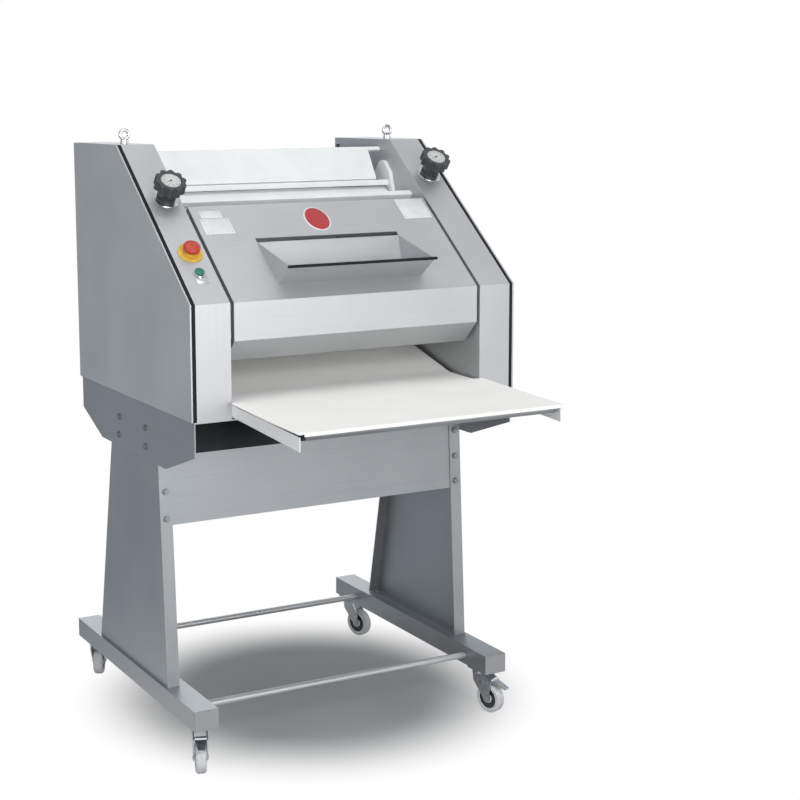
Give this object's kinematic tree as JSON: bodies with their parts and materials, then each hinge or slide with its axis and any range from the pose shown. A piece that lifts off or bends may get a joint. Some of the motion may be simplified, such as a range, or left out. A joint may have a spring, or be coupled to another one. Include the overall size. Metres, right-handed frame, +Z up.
{
  "type": "baguette moulder",
  "caption": "Floor-standing stainless dough moulder: sloping guard with a feed tray, infeed chute over sheeting rollers, felt delivery table, knobs, stop and start buttons, wheeled stand.",
  "frame": {"origin": "on the floor under the centre of the bounding box", "axes": "+Z up, -Y towards the delivery table, +X to the right seen from the front"},
  "size_m": [0.856, 1.1764, 1.478],
  "materials": {
    "stainless": "brushed",
    "frame_steel": "brushed",
    "bright_steel": "polished",
    "zinc": "zinc plated",
    "black_plastic": "matt",
    "black_rubber": "matt",
    "white_plastic": "satin",
    "dial_white": "glossy",
    "felt": "woollen felt",
    "board": "satin",
    "roller_metal": "turned",
    "motor_grey": "painted",
    "dark_steel": "oiled",
    "yellow_plastic": "glossy",
    "red_plastic": "glossy",
    "bezel_grey": "polished",
    "green_plastic": "glossy",
    "wheel_grey": "matt"
  },
  "bodies": {
    "frame": {"left_foot_beam": "stainless", "right_foot_beam": "stainless", "foot_end_caps": "stainless", "tie_rods": "stainless", "left_leg": "stainless", "right_leg": "stainless", "cross_panel": "stainless", "stand_bolts": "bright_steel", "left_base_plate": "stainless", "right_base_plate": "stainless", "base_floor": "stainless", "base_bolts": "bright_steel", "left_side_frame": "frame_steel", "right_side_frame": "frame_steel", "left_band": "stainless", "right_band": "stainless", "gaskets": "black_rubber", "left_side_cover": "stainless", "right_side_cover": "stainless", "rear_cover": "stainless", "eye_bolts": "bright_steel", "infeed_chute": "white_plastic", "infeed_cheeks": "white_plastic", "moulding_belt": "felt", "pressure_board": "board", "roller_bearings": "dark_steel", "gear_motor": "motor_grey", "drive_belt": "black_rubber", "knob_flanges": "black_plastic", "stop_base": "yellow_plastic", "start_bezel": "bezel_grey", "table_tray": "stainless", "table_felt": "felt", "table_rails": "stainless", "caster_plates": "zinc"},
    "guard": {"guard": "stainless", "feed_tray": "stainless"},
    "left_knob": {"left_knob": "black_plastic", "left_dial": "dial_white"},
    "right_knob": {"right_knob": "black_plastic", "right_dial": "dial_white"},
    "stop_button": {"stop_button": "red_plastic"},
    "start_button": {"start_button": "green_plastic"},
    "drive_roller": {"drive_roller": "roller_metal"},
    "front_sheeting_roller": {"front_sheeting_roller": "white_plastic"},
    "rear_sheeting_roller": {"rear_sheeting_roller": "white_plastic"},
    "upper_belt_roller": {"upper_belt_roller": "roller_metal"},
    "front_belt_roller": {"front_belt_roller": "roller_metal"},
    "motor_pulley": {"motor_pulley": "dark_steel"},
    "front_left_swivel": {"front_left_fork": "zinc"},
    "front_left_wheel": {"front_left_wheel": "wheel_grey"},
    "front_right_swivel": {"front_right_fork": "zinc"},
    "front_right_wheel": {"front_right_wheel": "wheel_grey"},
    "rear_left_swivel": {"rear_left_fork": "zinc"},
    "rear_left_wheel": {"rear_left_wheel": "wheel_grey"},
    "rear_right_swivel": {"rear_right_fork": "zinc"},
    "rear_right_wheel": {"rear_right_wheel": "wheel_grey"},
    "left_brake": {"left_brake_pedal": "zinc"},
    "right_brake": {"right_brake_pedal": "zinc"}
  },
  "joints": [
    {"name": "guard_hinge", "type": "hinge", "parent": "frame", "child": "guard", "pos_m": [0, 0.01354, 1.25789], "axis": [-1, 0, 0], "range_deg": [0, 70]},
    {"name": "left_knob_turn", "type": "hinge", "parent": "frame", "child": "left_knob", "pos_m": [-0.366, 0.03336, 1.31677], "axis": [0, -0.6187, 0.7856], "range_deg": [-900, 900]},
    {"name": "right_knob_turn", "type": "hinge", "parent": "frame", "child": "right_knob", "pos_m": [0.384, 0.08049, 1.3539], "axis": [0, -0.6187, 0.7856], "range_deg": [-900, 900]},
    {"name": "stop_press", "type": "slide", "parent": "frame", "child": "stop_button", "axis": [0, 0.6187, -0.7856], "range_m": [0, 0.005], "stiffness_N_per_m": 800},
    {"name": "start_press", "type": "slide", "parent": "frame", "child": "start_button", "axis": [0, 0.6187, -0.7856], "range_m": [0, 0.003], "stiffness_N_per_m": 500},
    {"name": "drive_roller_spin", "type": "hinge", "parent": "frame", "child": "drive_roller", "pos_m": [0, 0.37682, 0.985], "axis": [1, 0, 0], "continuous": true},
    {"name": "front_sheeting_roller_spin", "type": "hinge", "parent": "frame", "child": "front_sheeting_roller", "pos_m": [0, 0.12888, 1.27171], "axis": [1, 0, 0], "continuous": true},
    {"name": "rear_sheeting_roller_spin", "type": "hinge", "parent": "frame", "child": "rear_sheeting_roller", "pos_m": [0, 0.20688, 1.28371], "axis": [1, 0, 0], "continuous": true},
    {"name": "upper_belt_roller_spin", "type": "hinge", "parent": "frame", "child": "upper_belt_roller", "pos_m": [0, 0.27682, 1.12], "axis": [1, 0, 0], "continuous": true},
    {"name": "front_belt_roller_spin", "type": "hinge", "parent": "frame", "child": "front_belt_roller", "pos_m": [0, 0.09182, 0.985], "axis": [1, 0, 0], "continuous": true},
    {"name": "motor_pulley_spin", "type": "hinge", "parent": "frame", "child": "motor_pulley", "pos_m": [0, 0.31682, 0.765], "axis": [1, 0, 0], "continuous": true},
    {"name": "front_left_swivel", "type": "hinge", "parent": "frame", "child": "front_left_swivel", "pos_m": [-0.391, -0.16718, 0.11], "axis": [0, 0, 1], "continuous": true},
    {"name": "front_left_roll", "type": "hinge", "parent": "front_left_swivel", "child": "front_left_wheel", "pos_m": [-0.40194, -0.19725, 0.0375], "axis": [0.9397, -0.342, 0], "continuous": true},
    {"name": "left_brake", "type": "hinge", "parent": "front_left_swivel", "child": "left_brake", "pos_m": [-0.40468, -0.20477, 0.0845], "axis": [0.9397, -0.342, 0], "range_deg": [0, 12]},
    {"name": "front_right_swivel", "type": "hinge", "parent": "frame", "child": "front_right_swivel", "pos_m": [0.391, -0.16718, 0.11], "axis": [0, 0, 1], "continuous": true},
    {"name": "front_right_roll", "type": "hinge", "parent": "front_right_swivel", "child": "front_right_wheel", "pos_m": [0.40036, -0.19778, 0.0375], "axis": [0.9563, 0.2924, 0], "continuous": true},
    {"name": "right_brake", "type": "hinge", "parent": "front_right_swivel", "child": "right_brake", "pos_m": [0.40269, -0.20543, 0.0845], "axis": [0.9563, 0.2924, 0], "range_deg": [0, 12]},
    {"name": "rear_left_swivel", "type": "hinge", "parent": "frame", "child": "rear_left_swivel", "pos_m": [-0.391, 0.52282, 0.11], "axis": [0, 0, 1], "continuous": true},
    {"name": "rear_left_roll", "type": "hinge", "parent": "rear_left_swivel", "child": "rear_left_wheel", "pos_m": [-0.37598, 0.55108, 0.0375], "axis": [-0.8829, 0.4695, 0], "continuous": true},
    {"name": "rear_right_swivel", "type": "hinge", "parent": "frame", "child": "rear_right_swivel", "pos_m": [0.391, 0.52282, 0.11], "axis": [0, 0, 1], "continuous": true},
    {"name": "rear_right_roll", "type": "hinge", "parent": "rear_right_swivel", "child": "rear_right_wheel", "pos_m": [0.40194, 0.49275, 0.0375], "axis": [0.9397, 0.342, 0], "continuous": true}
  ],
  "couplings": [
    {"joint": "front_sheeting_roller_spin", "follows": "drive_roller_spin", "ratio": 1},
    {"joint": "rear_sheeting_roller_spin", "follows": "drive_roller_spin", "ratio": -1},
    {"joint": "upper_belt_roller_spin", "follows": "drive_roller_spin", "ratio": 1},
    {"joint": "front_belt_roller_spin", "follows": "drive_roller_spin", "ratio": 1},
    {"joint": "motor_pulley_spin", "follows": "drive_roller_spin", "ratio": 1}
  ]
}
